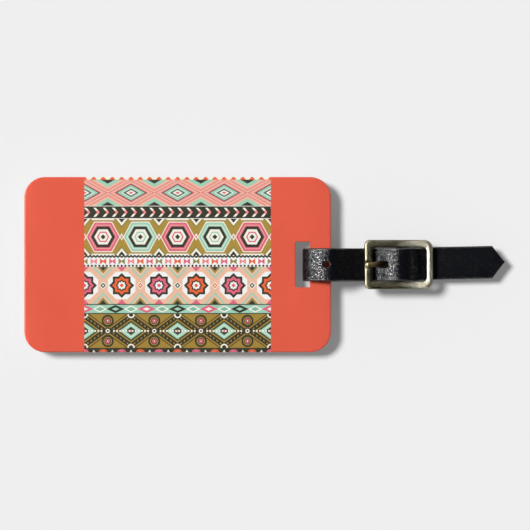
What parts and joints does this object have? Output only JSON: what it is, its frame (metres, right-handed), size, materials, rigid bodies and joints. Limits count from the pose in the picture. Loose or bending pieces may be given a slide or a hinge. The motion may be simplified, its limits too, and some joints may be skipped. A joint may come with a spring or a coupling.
{
  "type": "luggage tag",
  "caption": "Printed rigid luggage tag plate with a slot, hung on a black leather strap with an antique brass centre-bar buckle and a pointed tail.",
  "frame": {"origin": "centre of the tag plate's back face", "axes": "+X along the plate towards the slot, strap and buckle; +Y across the plate; +Z out of the printed front face"},
  "size_m": [0.1391, 0.0508, 0.0112],
  "materials": {
    "white_acrylic": "polished white acrylic",
    "printed_front": "glossy coral print with a geometric band",
    "printed_back": "glossy plain coral",
    "black_leather": "pebbled, semi-gloss",
    "black_leather_tail": "pebbled, semi-gloss",
    "rivet_steel": "blackened",
    "rivet_cap_steel": "blackened",
    "antique_brass": "darkened antique patina with worn edges",
    "brass_bar": "darkened antique patina",
    "brass_prong": "darkened antique patina, rubbed bright"
  },
  "bodies": {
    "tag": {"tag_core": "white_acrylic", "front_print_sheet": "printed_front", "back_print_sheet": "printed_back"},
    "strap": {"strap_band": "black_leather", "rivet_post": "rivet_steel", "rivet_cap": "rivet_cap_steel"},
    "buckle": {"buckle_frame": "antique_brass", "buckle_bar": "brass_bar"},
    "prong": {"buckle_prong": "brass_prong"},
    "tail": {"strap_tail": "black_leather_tail"}
  },
  "joints": [
    {"name": "strap_swing", "type": "hinge", "parent": "tag", "child": "strap", "pos_m": [0.04142, 0, 0.0016], "axis": [0, 1, 0], "range_deg": [-110, 110]},
    {"name": "buckle_tilt", "type": "hinge", "parent": "strap", "child": "buckle", "pos_m": [0.0642, 0, 0.0022], "axis": [0, 1, 0], "range_deg": [-1.5, 4]},
    {"name": "prong_lift", "type": "hinge", "parent": "buckle", "child": "prong", "pos_m": [0.0642, 0, 0.0022], "axis": [0, 1, 0], "range_deg": [0, 8]},
    {"name": "tail_flex", "type": "hinge", "parent": "strap", "child": "tail", "pos_m": [0.076, 0, 0.00105], "axis": [0, 1, 0], "range_deg": [-45, 40]}
  ]
}
